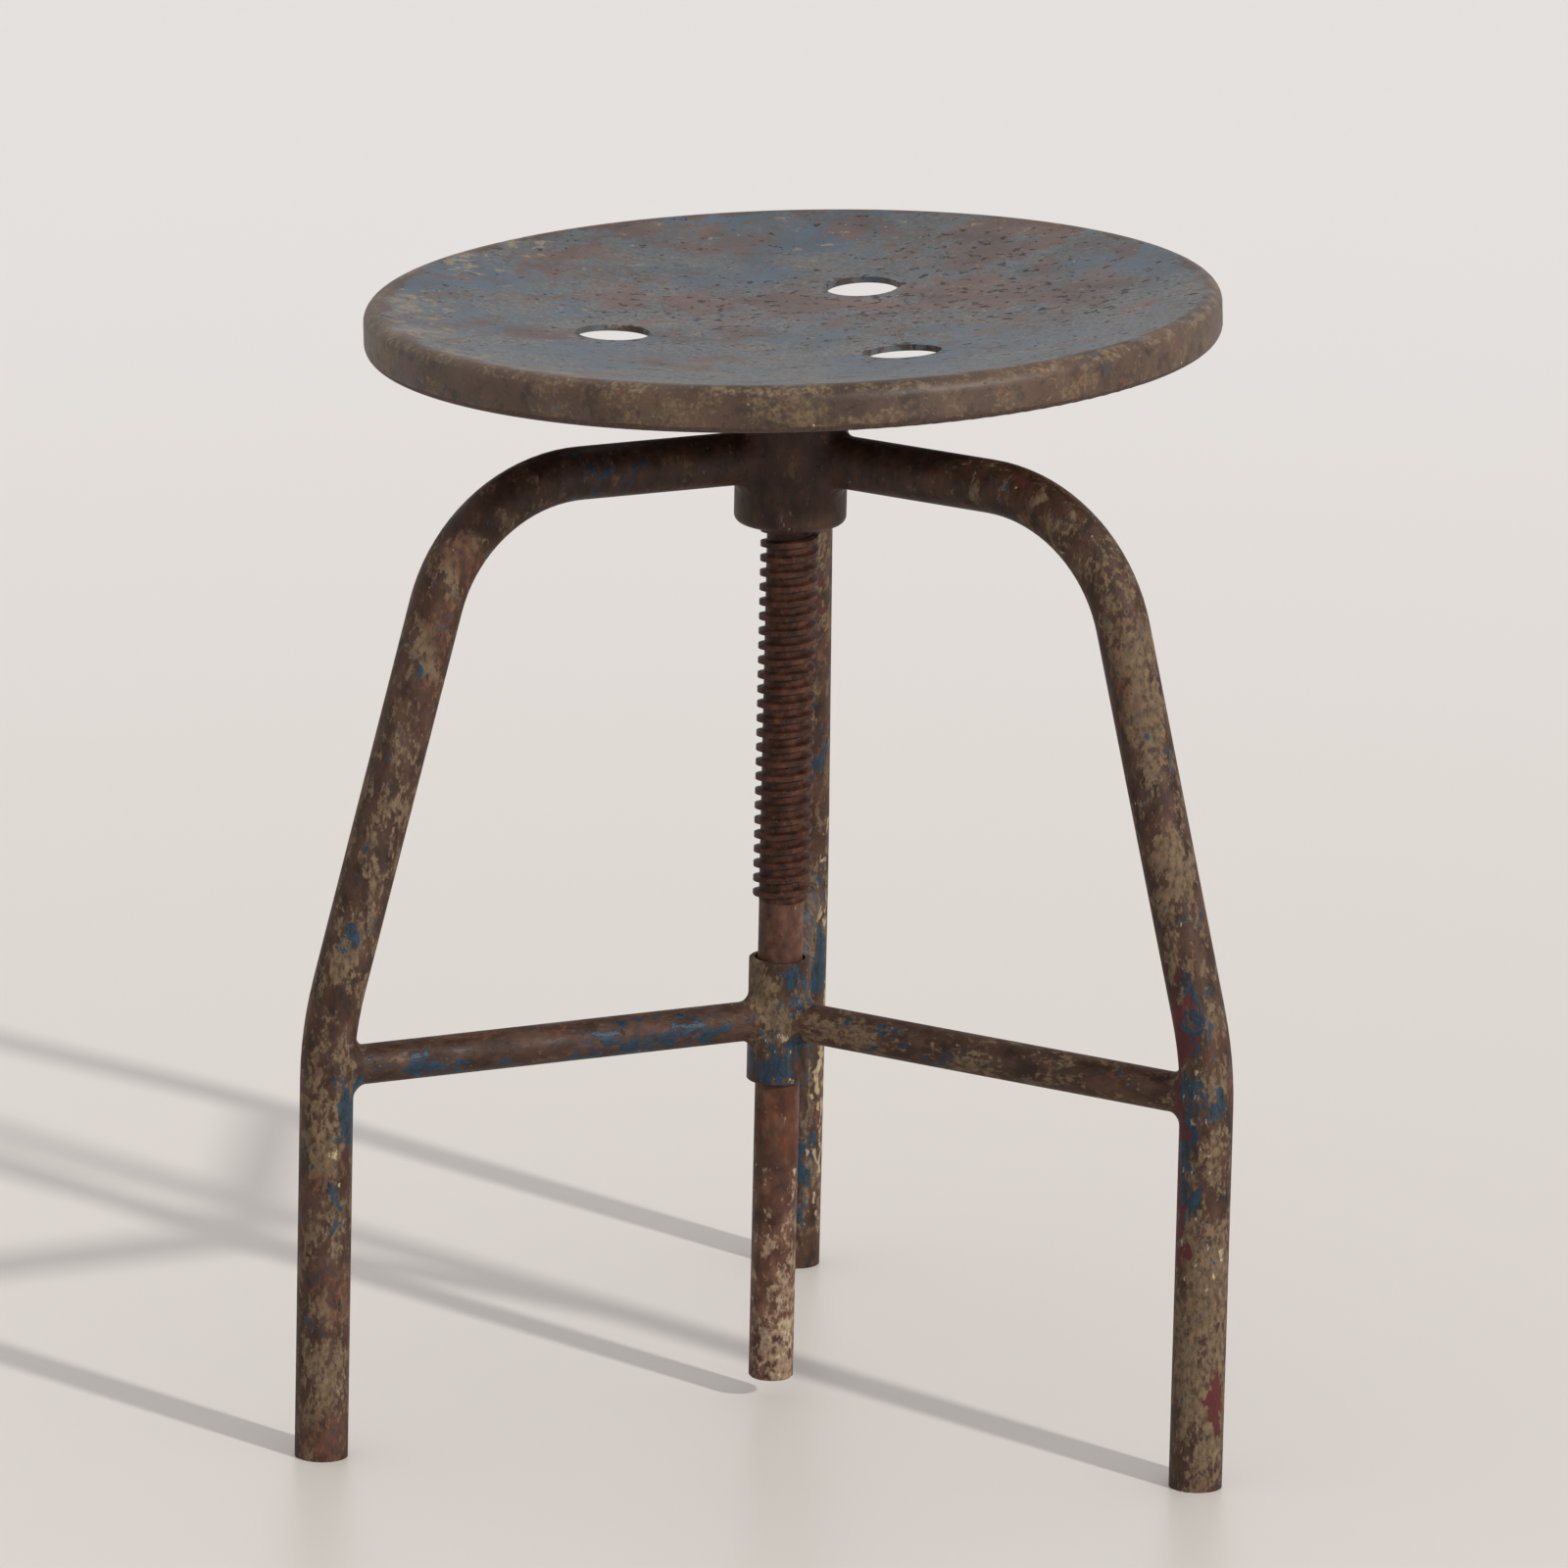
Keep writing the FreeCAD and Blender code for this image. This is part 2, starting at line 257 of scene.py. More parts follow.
def worn_finish(name, ground, coats, turn=0.0, stretch=(1.0, 1.0, 1.0), seed=0.0, gloss=0.2):
    """A material built up from its ground by coats, each one broken up by its own noise.

    ground is (size in mm, darkest, middle and lightest colour, roughness).
    A coat is a dictionary. It always has the size of its noise in mm, the level at which it
    starts (a lower one gives more of the coat), soft (the width of its edge), two tones and
    rough. It may have a height in mm, detail and twist of its noise, grit (how far the grit
    breaks up its edge), fine (its tones follow the grit and not the ground), patches and
    their gain, zones and opacity.
    """
    material = bpy.data.materials.new(name)
    material.use_nodes = True
    tree = material.node_tree
    tree.nodes.clear()
    point = add(tree, "ShaderNodeTexCoord").outputs["Object"]
    facing = add(tree, "ShaderNodeNewGeometry").outputs["Normal"]
    facing_down = add(
        tree,
        "ShaderNodeVectorMath",
        {"operation": "DOT_PRODUCT", 1: (0.0, 0.0, -1.0)},
        {0: facing},
    ).outputs["Value"]
    height_of = add(tree, "ShaderNodeSeparateXYZ", None, {0: point}).outputs["Z"]
    level_place = add(
        tree,
        "ShaderNodeVectorMath",
        {"operation": "MULTIPLY_ADD", 1: (1.0, 1.0, 0.0), 2: -SPINDLE},
        {0: point},
    )
    from_spindle = add(
        tree, "ShaderNodeVectorMath", {"operation": "LENGTH"}, {0: level_place.outputs[0]}
    ).outputs["Value"]
    to_spindle = add(
        tree, "ShaderNodeVectorMath", {"operation": "NORMALIZE"}, {0: level_place.outputs[0]}
    ).outputs[0]
    outward = add(
        tree, "ShaderNodeVectorMath", {"operation": "DOT_PRODUCT"}, {0: facing, 1: to_spindle}
    ).outputs["Value"]
    inward = add(
        tree, "ShaderNodeMath", {"operation": "MULTIPLY", 1: -1.0}, {0: outward}
    ).outputs[0]
    places = {
        "height": height_of, "radius": from_spindle, "down": facing_down, "inward": inward
    }
    place = add(
        tree,
        "ShaderNodeMapping",
        {"vector_type": "TEXTURE", "Rotation": (0.0, 0.0, turn), "Scale": stretch},
        {"Vector": point},
    ).outputs[0]
    grit = add(
        tree,
        "ShaderNodeTexNoise",
        {"Scale": per_metre(GRIT_SIZE), "Detail": 4.0, "Roughness": 0.65},
        {"Vector": place},
    ).outputs[0]

    # Paint doesn't flake in circles, so the patches' places are pushed about by a noise
    push = add(
        tree,
        "ShaderNodeTexNoise",
        {"Scale": per_metre(RAGGED_SIZE), "Detail": 3.0, "Roughness": 0.6},
        {"Vector": place},
    ).outputs["Color"]
    far = RAGGED_PUSH * MM
    push = add(
        tree,
        "ShaderNodeVectorMath",
        {"operation": "MULTIPLY_ADD", 1: (2 * far,) * 3, 2: (-far,) * 3},
        {0: push},
    ).outputs[0]
    ragged = add(
        tree, "ShaderNodeVectorMath", {"operation": "ADD"}, {0: place, 1: push}
    ).outputs[0]

    size, dark, mid, light, rough = ground
    body = add(
        tree,
        "ShaderNodeTexNoise",
        {"Scale": per_metre(size), "Detail": 6.0, "Roughness": 0.62},
        {"Vector": place},
    ).outputs[0]
    reach = {"From Min": NOISE_LOW, "From Max": NOISE_HIGH}
    fine_tone = add(tree, "ShaderNodeMapRange", reach, {"Value": grit}).outputs[0]
    broad_tone = add(tree, "ShaderNodeMapRange", reach, {"Value": body}).outputs[0]
    ramp = add(tree, "ShaderNodeValToRGB", None, {"Fac": body})
    ramp.color_ramp.elements[0].position = NOISE_LOW
    ramp.color_ramp.elements[0].color = dark
    ramp.color_ramp.elements[1].position = NOISE_HIGH
    ramp.color_ramp.elements[1].color = light
    ramp.color_ramp.elements.new(0.5).color = mid
    shade = ramp.outputs["Color"]
    roughness = add(
        tree,
        "ShaderNodeMapRange",
        {"From Min": 0.35, "From Max": 0.65, "To Min": rough - 0.1, "To Max": rough + 0.1},
        {"Value": grit},
    ).outputs[0]
    relief = add(
        tree, "ShaderNodeMath", {"operation": "MULTIPLY", 1: 0.16}, {0: body}
    ).outputs[0]

    for index, coat in enumerate(coats):
        shift = seed + 0.37 * (index + 1)
        moved = add(
            tree,
            "ShaderNodeVectorMath",
            {"operation": "ADD", 1: (shift, 1.3 * shift, 0.7 * shift)},
            {0: place},
        )
        value = add(
            tree,
            "ShaderNodeTexNoise",
            {
                "Scale": per_metre(coat["size"]),
                "Detail": coat.get("detail", 6.0),
                "Roughness": 0.62,
                "Distortion": coat.get("twist", 0.0),
            },
            {"Vector": moved.outputs[0]},
        ).outputs[0]
        value = add(
            tree,
            "ShaderNodeMath",
            {"operation": "MULTIPLY_ADD", 1: coat.get("grit", 0.12)},
            {0: grit, 2: value},
        ).outputs[0]
        extras = [zone_value(tree, places, zone) for zone in coat.get("zones", ())]
        patches = coat.get("patches")
        if patches:
            weight = patch_value(tree, ragged, patches, turn, stretch)
            extras.append(
                add(
                    tree,
                    "ShaderNodeMath",
                    {"operation": "MULTIPLY", 1: coat.get("gain", 0.3)},
                    {0: weight},
                ).outputs[0]
            )
        for extra in extras:
            value = add(
                tree, "ShaderNodeMath", {"operation": "ADD"}, {0: value, 1: extra}
            ).outputs[0]
        start = coat["level"] + coat.get("grit", 0.12) / 2
        mask = add(
            tree,
            "ShaderNodeMapRange",
            {
                "interpolation_type": "SMOOTHSTEP",
                "From Min": start,
                "From Max": start + coat["soft"],
                "To Max": coat.get("opacity", 1.0),
            },
            {"Value": value},
        ).outputs[0]
        first, second = coat["tones"]
        tone = add(
            tree,
            "ShaderNodeMix",
            {"data_type": "RGBA", 6: first, 7: second},
            {0: fine_tone if coat.get("fine") else broad_tone},
        ).outputs[2]
        shade = add(
            tree, "ShaderNodeMix", {"data_type": "RGBA"}, {0: mask, 6: shade, 7: tone}
        ).outputs[2]
        roughness = add(
            tree, "ShaderNodeMix", {"data_type": "FLOAT", 3: coat["rough"]}, {0: mask, 2: roughness}
        ).outputs[0]
        if coat.get("height"):
            relief = add(
                tree,
                "ShaderNodeMath",
                {"operation": "MULTIPLY_ADD", 1: coat["height"]},
                {0: mask, 2: relief},
            ).outputs[0]

    relief = add(
        tree, "ShaderNodeMath", {"operation": "MULTIPLY_ADD", 1: 0.12}, {0: grit, 2: relief}
    ).outputs[0]
    bump = add(tree, "ShaderNodeBump", {"Strength": 1.0, "Distance": MM}, {"Height": relief})
    shader = add(
        tree,
        "ShaderNodeBsdfPrincipled",
        {"Specular IOR Level": gloss},
        {"Base Color": shade, "Roughness": roughness, "Normal": bump.outputs[0]},
    )
    add(tree, "ShaderNodeOutputMaterial", None, {"Surface": shader.outputs[0]})
    return material


def tones(*hex_colours):
    """Several sRGB hex colours as linear ones."""
    return tuple(linear(value) for value in hex_colours)


def frame_coats(colours, wear):
    """The coats on a tube of the frame, from the first left on the steel to the last dirt.

    Brushed enamel over red-oxide primer on mild steel tube, rubbed and rusted for decades.
    """
    patches = wear.get("patches", {})
    dark_blue = tuple(value * 0.3 for value in colours.enamel[:3]) + (1.0,)
    dark_red = tuple(value * 0.6 for value in colours.primer[:3]) + (1.0,)
    thin_patina = tuple(value * 0.28 for value in colours.patina[:3]) + (1.0,)
    return [
        # Khaki film of dirt in the worn undercoat, which makes the tube look dry and grainy
        {
            "size": 9.0,
            "level": wear.get("patina", 0.48),
            "soft": 0.12,
            "tones": (thin_patina, tuple(colours.patina)),
            "rough": 0.82,
            "height": 0.05,
            "patches": patches.get("patina"),
            "gain": 0.2,
            "fine": True,
            "grit": 0.7,
            "detail": 8.0,
            "opacity": 0.85,
        },
        # Red-brown rust where hands and boots have rubbed the film away
        {
            "size": 18.0,
            "level": wear.get("rubbed", 0.55),
            "soft": 0.16,
            "tones": tones("#321D15", "#5F3C2B"),
            "rough": 0.6,
            "patches": patches.get("rubbed"),
            "gain": 0.2,
            "grit": 0.4,
            "fine": True,
            "opacity": 0.85,
        },
        # Darker, smoother skin of old varnish and grease, thickest on the sheltered inner side
        # Where it is strongest, at the arms' height under the seat, it is also painted shade
        {
            "size": 12.0,
            "level": wear.get("dark", 0.32),
            "soft": 0.06,
            "tones": tones("#1F120C", "#42291B"),
            "rough": wear.get("skin", 0.5),
            "height": 0.04,
            "patches": patches.get("dark"),
            "gain": 0.24,
            "zones": (
                # Painted shade: the skin is darkest at the arms' height, where the seat's shadow
                # falls
                ("height", 350.0, 388.0, wear.get("arms", 0.2)),
                ("inward", -0.5, 0.6, wear.get("shelter", 0.14)),
            ),
            "opacity": 0.92,
        },
        # Dry olive dust on the greasy arms and hub
        {
            "size": 8.0,
            "level": 0.58,
            "soft": 0.16,
            "tones": tones("#4A3822", "#705940"),
            "rough": 0.8,
            "grit": 0.7,
            "fine": True,
            "opacity": 0.5,
        },
        # Petrol-blue enamel in the sheltered places, still a little glossy
        {
            "size": 9.0,
            "level": wear.get("enamel", 0.64),
            "soft": 0.09,
            "tones": (dark_blue, tuple(colours.enamel)),
            "rough": 0.42,
            "height": 0.1,
            "patches": patches.get("enamel"),
            "gain": wear.get("enamel_gain", 0.34),
            "grit": 0.7,
            "twist": 0.6,
            "fine": True,
            "opacity": 0.92,
        },
        # Red-oxide primer, bared where the enamel has flaked
        {
            "size": 8.0,
            "level": wear.get("primer", 0.7),
            "soft": 0.04,
            "tones": (dark_red, tuple(colours.primer)),
            "rough": 0.6,
            "height": -0.04,
            "patches": patches.get("primer"),
            "gain": wear.get("primer_gain", 0.36),
        },
        # Cream flecks of filler and lime, dry and raised
        {
            "size": 3.2,
            "level": wear.get("flecks", 0.69),
            "soft": 0.04,
            "tones": tones("#7F6D57", "#AD9D80"),
            "rough": 0.8,
            "height": 0.1,
            "patches": patches.get("flecks"),
            "gain": wear.get("fleck_gain", 0.12),
            "fine": True,
            "opacity": 0.85,
        },
        # Rust pits about 2 mm across, dark because they hold shadow
        {
            "size": 2.2,
            "level": wear.get("pits", 0.66),
            "soft": 0.06,
            "tones": tones("#1E1310", "#33221B"),
            "rough": 0.8,
            "height": -0.15,
            "opacity": 0.7,
            "detail": 3.0,
        },
    ]


# How each piece of the frame is worn, and where shade is painted on it. patches says where a coat
# keeps its marks: x, y, z and radius in mm. A coat's name gives the level at which it starts, and
# its name with _gain how strongly its patches show. arms and shelter are what the dark skin loses
# below the arms and on the outer side, skin is its roughness, and gloss is the shader's specular
# level. Some dark patches are painted shade, on the arms under the seat and on leg edges turned
# from the key light.
FRAME_WEAR = {
    "leg_left": {
        "patches": {
            "enamel": [
                (-167, -127, 215, 7), (-164, -124, 145, 12), (-166, -127, 136, 7),
                (-169, -130, 106, 6), (-77, -77, 391, 5), (-71, -74, 392, 6), (-65, -71, 392, 6),
                (-60, -68, 393, 5), (-150, -80, 170, 14),
            ],
            "rubbed": [
                (-172, -132, 78, 14), (-166, -128, 65, 14), (-176, -132, 12, 12),
                (-167, -129, 12, 12), (-136, -110, 338, 14), (-126, -104, 369, 16),
                (-140, -112, 310, 10),
            ],
            # The dark patches on the arm under the seat and on the tube's left edge, turned from
            # the key light, are painted shade
            "dark": [
                (-171, -129, 194, 11), (-174, -131, 178, 9), (-176, -129, 158, 11),
                (-147, -106, 350, 13), (-159, -108, 302, 11), (-152, -118, 262, 9),
                (-160, -122, 236, 8), (-40, -44, 398, 50),
            ],
            "patina": [
                (-165, -127, 205, 12),
                (-173, -132, 32, 12), (-174, -132, 124, 12), (-169, -130, 142, 14),
            ],
            "flecks": [(-174, -132, 30, 9), (-171, -131, 120, 12)],
        },
    },
    "leg_right": {
        "enamel_gain": 0.42,
        "primer_gain": 0.7,
        "fleck_gain": 0.17,
        "patches": {
            "enamel": [
                (168, -129, 207, 7), (168, -130, 197, 9), (169, -130, 186, 9),
                (168, -130, 160, 9), (168, -130, 150, 9), (168, -131, 138, 7),
                (176, -132, 159, 7), (168, -130, 120, 8), (160, -90, 190, 16),
            ],
            "primer": [
                (161, -125, 212, 6), (162, -125, 203, 6), (163, -125, 194, 7),
                (163, -125, 184, 7), (163, -124, 166, 6), (163, -124, 155, 7),
                (164, -125, 144, 7), (164, -125, 134, 7), (164, -125, 122, 7),
                (165, -126, 110, 7), (165, -126, 98, 6), (180, -130, 38, 9), (90, -81, 399, 4),
            ],
            "patina": [
                (175, -132, 90, 22), (174, -132, 67, 24), (174, -132, 40, 20),
                (138, -112, 330, 16), (145, -114, 312, 14), (156, -122, 251, 16),
                (126, -104, 354, 14), (102, -91, 390, 12),
            ],
            # The dark patches along the tube's inner edge, turned from the key light, and on the
            # arm under the seat are painted shade
            "dark": [
                (124, -101, 350, 9), (130, -104, 325, 9), (137, -108, 299, 9),
                (164, -124, 222, 8), (166, -127, 31, 8), (38, -42, 398, 48),
            ],
            "flecks": [
                (171, -131, 160, 9), (175, -132, 195, 9), (176, -132, 215, 7),
                (174, -132, 100, 14), (175, -132, 140, 9),
            ],
        },
    },
    "leg_rear": {
        "fleck_gain": 0.3,
        "patches": {
            "enamel": [
                (2, 170, 84, 9), (2, 170, 66, 9), (2, 170, 48, 9), (2, 170, 30, 9),
                (8, 173, 172, 9), (8, 174, 133, 10), (6, 160, 220, 8), (-8, 176, 90, 14),
            ],
            "primer": [(7, 138, 308, 6), (6, 141, 292, 7), (7, 146, 273, 6)],
            "patina": [
                (12, 176, 78, 12), (12, 176, 60, 12), (12, 176, 42, 12), (8, 174, 150, 12),
                (8, 142, 295, 10), (7, 151, 256, 12),
            ],
            "flecks": [
                (13, 176, 112, 12), (13, 176, 92, 13), (13, 176, 70, 14), (13, 176, 48, 14),
                (13, 176, 28, 12), (9, 174, 150, 11), (9, 173, 178, 10),
            ],
            # The big dark patch on the arm under the seat is painted shade
            "dark": [(7, 172, 8, 12), (0, 60, 400, 48)],
        },
    },
    "stretcher_left": {
        "patina": 0.66,
        "dark": 0.42,
        "skin": 0.42,
        "arms": 0.0,
        "patches": {
            "enamel": [
                (-137, -109, 158, 8), (-128, -104, 157, 9), (-118, -98, 157, 8),
                (-104, -89, 157, 7), (-79, -75, 157, 7), (-58, -63, 158, 10),
                (-43, -55, 160, 11), (-30, -47, 161, 11), (-22, -42, 162, 8),
            ],
            "rubbed": [(-89, -76, 167, 12), (-120, -90, 167, 12), (-55, -57, 167, 10)],
            "patina": [(-152, -111, 160, 6)],
        },
    },
    "stretcher_right": {
        "patina": 0.5,
        "dark": 0.5,
        "arms": 0.0,
        "patches": {
            "enamel": [
                (45, -55, 163, 5), (53, -59, 163, 5), (67, -69, 160, 5), (31, -47, 156, 7),
                (137, -108, 162, 5), (90, -65, 156, 10),
            ],
            "dark": [(95, -83, 165, 8), (123, -99, 164, 8), (60, -63, 158, 7)],
            "patina": [(20, -41, 163, 8), (31, -47, 163, 8), (83, -78, 160, 9), (115, -96, 162, 9)],
            "primer": [(72, -62, 168, 3)],
        },
    },
    "stretcher_rear": {
        "dark": 0.5,
        "arms": 0.0,
        "patches": {"enamel": [(0, 60, 166, 14), (0, 120, 160, 11)]},
    },
    "guide_collar": {
        "patina": 0.46,
        "rubbed": 0.54,
        "dark": 0.54,
        "enamel": 0.62,
        "arms": 0.0,
        "shelter": 0.0,
        "patches": {
            "enamel": [
                (5, -33, 181, 11), (9, -31, 175, 11), (-1, -33, 146, 11), (4, -33, 143, 11),
                (-8, -31, 140, 10), (10, -28, 150, 11), (0, -8, 160, 16),
            ],
            "patina": [(-1, -33, 163, 9), (6, -33, 163, 9), (-9, -29, 178, 9)],
            "flecks": [(5, -32, 136, 5), (0, -33, 158, 9)],
        },
    },
    "hub_nut": {
        "patina": 0.56,
        "rubbed": 0.6,
        # The dark skin covers nearly all of the hub, which lies in the seat's shadow: partly
        # grease, partly painted shade
        "dark": 0.33,
        "enamel": 0.74,
        "arms": 0.0,
        "shelter": 0.0,
    },
}

# The paint runs on over each weld from the piece that it is laid on.
WELD_PAINT = {"hub_weld": "hub_nut", "collar_weld": "guide_collar", "stretcher_weld": "leg"}


def stretcher_like(node):
    """True for a bar that lies level."""
    return node.startswith("stretcher_") and "weld" not in node


def finish_frame(node, obj, colours, seed):
    """Gives a piece of the frame its worn paint, with the streaks along the tube."""
    wear = FRAME_WEAR.get(node, {})
    turn = 0.0
    stretch = (1.0, 1.0, 1.8)
    if stretcher_like(node):
        turn = math.radians(SIDES[node.rsplit("_", 1)[1]])
        stretch = (1.8, 1.0, 1.0)
    ground = (7.0, linear("#291A13"), linear("#3D2A20"), tuple(colours.rust), 0.66)
    material = worn_finish(
        "worn_enamel_" + node, ground, frame_coats(colours, wear), turn, stretch, seed,
        wear.get("gloss", 0.25),
    )
    set_material(obj, material)


def set_material(obj, material):
    """Puts one material on the whole of an object."""
    obj.data.materials.clear()
    obj.data.materials.append(material)


# Weld beads


def bead_ring(bar_radius, wall_radius, leg, ripple, bar_height, wall_centre, outward):
    """Rings of a concave bead round a level bar along X where it meets an upright round wall.

    wall_centre gives the wall's axis in X for a height, and outward is 1 or -1, the side of
    that axis on which the bar lies.
    """
    rings = []
    for step in range(BEAD_STEPS):
        angle = 2 * math.pi * step / BEAD_STEPS
        side = math.cos(angle)
        rise = math.sin(angle)
        # A hand weld is nowhere quite the same width
        grow = leg * (1 + 0.07 * math.sin(5 * angle + 1.0) + 0.05 * math.sin(11 * angle))
        contact = math.asin(bar_radius * side / wall_radius)
        toe = contact + grow * side / wall_radius
        toe_height = bar_height + (bar_radius + grow) * rise
        wall_toe = Vector((
            wall_centre(toe_height) + outward * wall_radius * math.cos(toe),
            wall_radius * math.sin(toe),
            toe_height,
        ))
        root_height = bar_height + bar_radius * rise
        root_x = wall_centre(root_height) + outward * wall_radius * math.cos(contact)
        root = Vector((root_x, bar_radius * side, root_height))
        bar_toe = root + Vector((outward * grow, 0, 0))
        ridge = ripple * math.sin(BEAD_WAVES * angle) ** 2
        hollow = root.lerp((wall_toe + bar_toe) / 2, 0.15)
        ring = []
        for share in [index / (BEAD_FACE_POINTS - 1) for index in range(BEAD_FACE_POINTS)]:
            spot = (
                wall_toe * (1 - share) ** 2 + hollow * 2 * share * (1 - share) + bar_toe * share**2
            )
            away = (spot - root).normalized()
            ring.append(spot + away * ridge * math.sin(math.pi * share))
        sunk = root - ((wall_toe + bar_toe) / 2 - root).normalized() * BEAD_SUNK
        ring.append(sunk)
        rings.append(ring)
    return rings


def closed_bead(name, rings, turn):
    """A mesh from rings that close on themselves, turned to a leg's direction."""
    mesh = bpy.data.meshes.new(name)
    build = bmesh.new()
    place = Matrix.Translation(SPINDLE) @ Matrix.Rotation(turn, 4, "Z")
    rows = [[build.verts.new(place @ point) for point in ring] for ring in rings]
    for row, following in zip(rows, rows[1:] + rows[:1]):
        for index in range(len(row)):
            after = (index + 1) % len(row)
            build.faces.new((row[index], row[after], following[after], following[index]))
    # The toes are crisp, so that the hidden back doesn't shade the face
    for row, following in zip(rows, rows[1:] + rows[:1]):
        for index in (0, len(row) - 2):
            build.edges.get((row[index], following[index])).smooth = False
    bmesh.ops.recalc_face_normals(build, faces=build.faces)
    build.to_mesh(mesh)
    build.free()
    for polygon in mesh.polygons:
        polygon.use_smooth = True
    obj = bpy.data.objects.new(name, mesh)
    bpy.context.scene.collection.objects.link(obj)
    return obj


class STOOL_OT_weld_beads(bpy.types.Operator):
    """Builds the rippled beads round the arms and the stretchers"""

    bl_idname = "stool.weld_beads"
    bl_label = "Weld beads"

    def execute(self, context):
        sizes = context.scene.stool_sizes
        hub_radius = span("hub_nut", 0) / 2
        collar_radius = span("guide_collar", 0) / 2
        tube_radius = span("leg_rear", 0) / 2
        bar_radius = span("stretcher_rear", 0) / 2
        arm_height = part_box("leg_rear")[1][2] - tube_radius
        bar_height = middle("stretcher_rear").z
        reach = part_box("leg_rear")[1][1] - tube_radius - SPINDLE.y

        def knee_line(height):
            """The leg's centre line, which leans in above the start of the knee."""
            above = max(0.0, height - KNEE_START)
            return reach - KNEE_RADIUS + math.sqrt(KNEE_RADIUS**2 - above**2)

        beads = {
            "hub_weld": (tube_radius, hub_radius, sizes.hub_bead, arm_height, lambda z: 0.0, 1),
            "collar_weld": (
                bar_radius, collar_radius, sizes.collar_bead, bar_height, lambda z: 0.0, 1
            ),
            "stretcher_weld": (
                bar_radius, tube_radius, sizes.knee_bead, bar_height, knee_line, -1
            ),
        }
        for kind, (bar, wall, leg, height, line, outward) in beads.items():
            rings = bead_ring(bar, wall, leg, sizes.bead_ripple, height, line, outward)
            for side, degrees in SIDES.items():
                node = kind + "_" + side
                obj = closed_bead(node + "_bead", rings, math.radians(degrees))
                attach(obj, "frame")
                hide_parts(node)
        return {"FINISHED"}


class STOOL_OT_frame_paint(bpy.types.Operator):
    """Finishes the legs, stretchers, hub and collar in worn enamel"""

    bl_idname = "stool.frame_paint"
    bl_label = "Frame paint"

    def execute(self, context):
        colours = context.scene.stool_colours
        names = [kind + "_" + side for kind in ("leg", "stretcher") for side in SIDES]
        for index, node in enumerate(names + ["hub_nut", "guide_collar"]):
            finish_frame(node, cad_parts[node], colours, 1.7 * index)
        for kind, wall in WELD_PAINT.items():
            for side in SIDES:
                carrier = wall + "_" + side if wall == "leg" else wall
                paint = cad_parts[carrier].data.materials[0]
                set_material(bpy.data.objects[kind + "_" + side + "_bead"], paint)
        return {"FINISHED"}


class STOOL_OT_spindle_rust(bpy.types.Operator):
    """Finishes the lift screw, the guide rod and the hidden bare steel"""

    bl_idname = "stool.spindle_rust"
    bl_label = "Spindle rust"

    def execute(self, context):
        colours = context.scene.stool_colours
        # Turned mild steel bar, rusted brown under a film of old grease
        ground = (6.0, linear("#23130D"), linear("#3A2117"), linear("#523223"), 0.56)
        dust = {
            "size": 3.0,
            "level": 0.55,
            "soft": 0.14,
            "tones": tones("#4C3226", "#644636"),
            "rough": 0.75,
            "height": 0.05,
            "fine": True,
            "opacity": 0.6,
        }
        pits = {
            "size": 2.2,
            "level": 0.62,
            "soft": 0.08,
            "tones": tones("#180F0B", "#281913"),
            "rough": 0.8,
            "height": -0.15,
            "opacity": 0.7,
            "detail": 3.0,
        }
        screw = worn_finish("rusted_screw_steel", ground, [dust, pits], seed=2.0, gloss=0.2)
        set_material(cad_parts["lift_screw"], screw)
        # Fresh orange rust under the collar, and pale scale and splashes near the floor
        fresh = {
            "size": 12.0,
            "level": 0.42,
            "soft": 0.2,
            "tones": tones("#3C1F10", "#5A3019"),
            "rough": 0.65,
            "zones": (("height", 62.0, 108.0, 0.3), ("height", 137.0, 135.0, 0.3)),
            "opacity": 0.9,
            "detail": 8.0,
        }
        scale = {
            "size": 7.0,
            "level": 0.46,
            "soft": 0.16,
            "tones": tones("#5F4939", "#9E8973"),
            "rough": 0.75,
            "height": 0.08,
            "zones": (("height", 110.0, 30.0, 0.2),),
            "patches": [
                (9, -26, 14, 15), (9, -26, 32, 15), (9, -25, 50, 15), (9, -25, 68, 14),
                (9, -25, 86, 12),
            ],
            "gain": 0.2,
            "fine": True,
            "grit": 0.7,
            "detail": 8.0,
            "opacity": 0.8,
        }
        cream = {
            "size": 6.0,
            "level": 0.66,
            "soft": 0.06,
            "tones": tones("#83705A", "#AC9B80"),
            "rough": 0.8,
            "height": 0.1,
            "patches": [(8, -26, 24, 10), (9, -25, 48, 9)],
            "gain": 0.24,
            "grit": 0.3,
            "fine": True,
            "opacity": 0.85,
        }
        rod_ground = (7.0, linear("#35211A"), linear("#4E3327"), linear("#674737"), 0.54)
        rod = worn_finish(
            "rusted_rod_steel",
            rod_ground,
            [fresh, scale, cream, dict(pits, level=0.65)],
            stretch=(1.0, 1.0, 1.5),
            seed=5.0,
            gloss=0.22,
        )
        set_material(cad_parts["guide_rod"], rod)
        # Steel that was never painted, brown and dry
        bare = worn_finish("bare_rusted_steel", ground, [dict(dust, level=0.6), pits], seed=8.0)
        for node in ("seat_flange", "flange_weld", "screw_weld"):
            set_material(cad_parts[node], bare)
        for side in SIDES:
            set_material(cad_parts["foot_plug_" + side], bare)
        return {"FINISHED"}


